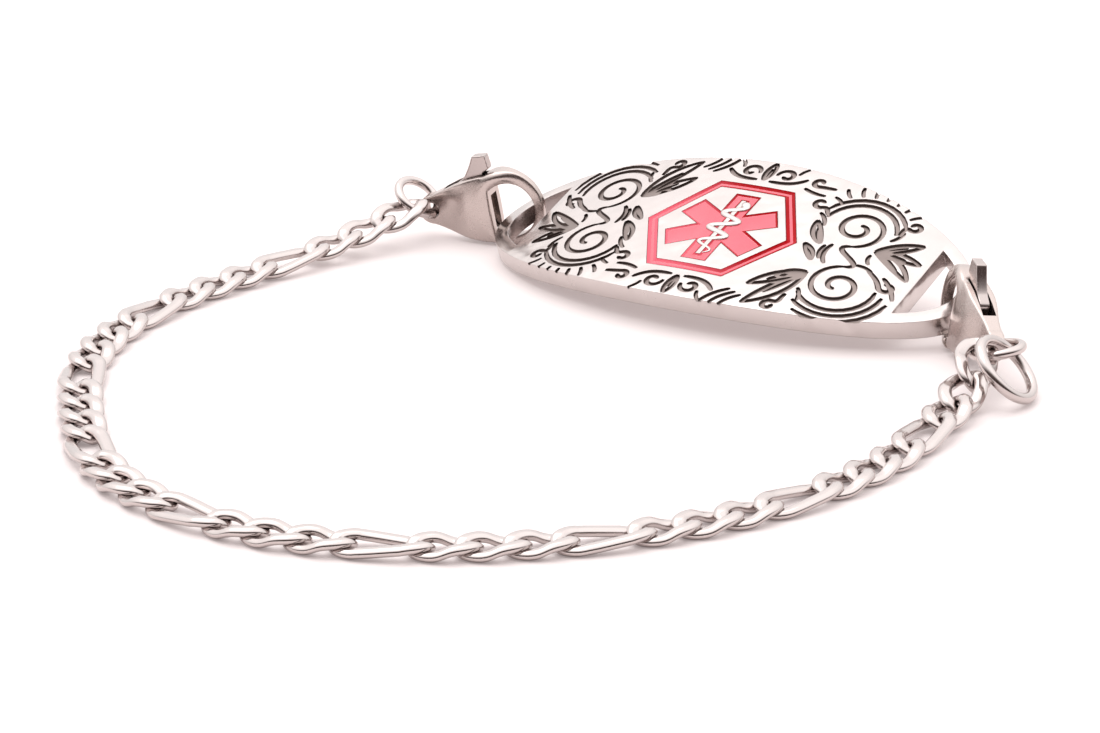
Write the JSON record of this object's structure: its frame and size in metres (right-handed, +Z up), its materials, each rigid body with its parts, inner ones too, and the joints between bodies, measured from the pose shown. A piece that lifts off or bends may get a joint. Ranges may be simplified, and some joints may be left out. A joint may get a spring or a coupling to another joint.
{
  "type": "medical alert bracelet",
  "caption": "Closed medical alert bracelet: a bent oval steel plaque with an enamelled hexagon and star, held at both ends by sprung clasps on a flat curb chain.",
  "frame": {"origin": "middle of the loop's box, at the height of the table that it lies on", "axes": "+X along the longest side, +Z up; the raised far end of the plaque points to +X and +Y"},
  "size_m": [0.068, 0.0672, 0.0082],
  "materials": {
    "plaque": "polished stainless steel with an engraved ornament",
    "enamel": "glossy pink-red enamel",
    "clasp": "polished stainless steel, softly rounded",
    "lever": "polished stainless steel",
    "ring": "polished stainless steel wire",
    "chain": "polished, flattened stainless steel wire"
  },
  "bodies": {
    "bracelet": {"plaque": "plaque", "enamel_border": "enamel", "enamel_star": "enamel", "left_clasp_body": "clasp", "right_clasp_body": "clasp", "left_jump_ring": "ring", "right_jump_ring": "ring", "end_ring": "ring", "link_01": "chain", "link_02": "chain", "link_03": "chain", "link_04": "chain", "link_05": "chain", "link_06": "chain", "link_07": "chain", "link_08": "chain", "link_09": "chain", "link_10": "chain", "link_11": "chain", "link_12": "chain", "link_13": "chain", "link_14": "chain", "link_15": "chain", "link_16": "chain", "link_17": "chain", "link_18": "chain", "link_19": "chain", "link_20": "chain", "link_21": "chain", "link_22": "chain", "link_23": "chain", "link_24": "chain", "link_25": "chain", "link_26": "chain", "link_27": "chain", "link_28": "chain", "link_29": "chain", "link_30": "chain", "link_31": "chain", "link_32": "chain", "link_33": "chain", "link_34": "chain", "link_35": "chain", "link_36": "chain", "link_37": "chain", "link_38": "chain", "link_39": "chain"},
    "left_lever": {"left_clasp_lever": "lever"},
    "right_lever": {"right_clasp_lever": "lever"}
  },
  "joints": [
    {"name": "left_lever_press", "type": "hinge", "parent": "bracelet", "child": "left_lever", "pos_m": [-0.00484, 0.03007, 0.00187], "axis": [-0.4021, -0.9115, -0.0863], "range_deg": [0, 20], "stiffness_Nm_per_rad": 0.001, "springref_deg": -11.46},
    {"name": "right_lever_press", "type": "hinge", "parent": "bracelet", "child": "right_lever", "pos_m": [0.0302, 0.00117, 0.00201], "axis": [0.9567, 0.2569, -0.1367], "range_deg": [0, 20], "stiffness_Nm_per_rad": 0.001, "springref_deg": -11.46}
  ]
}
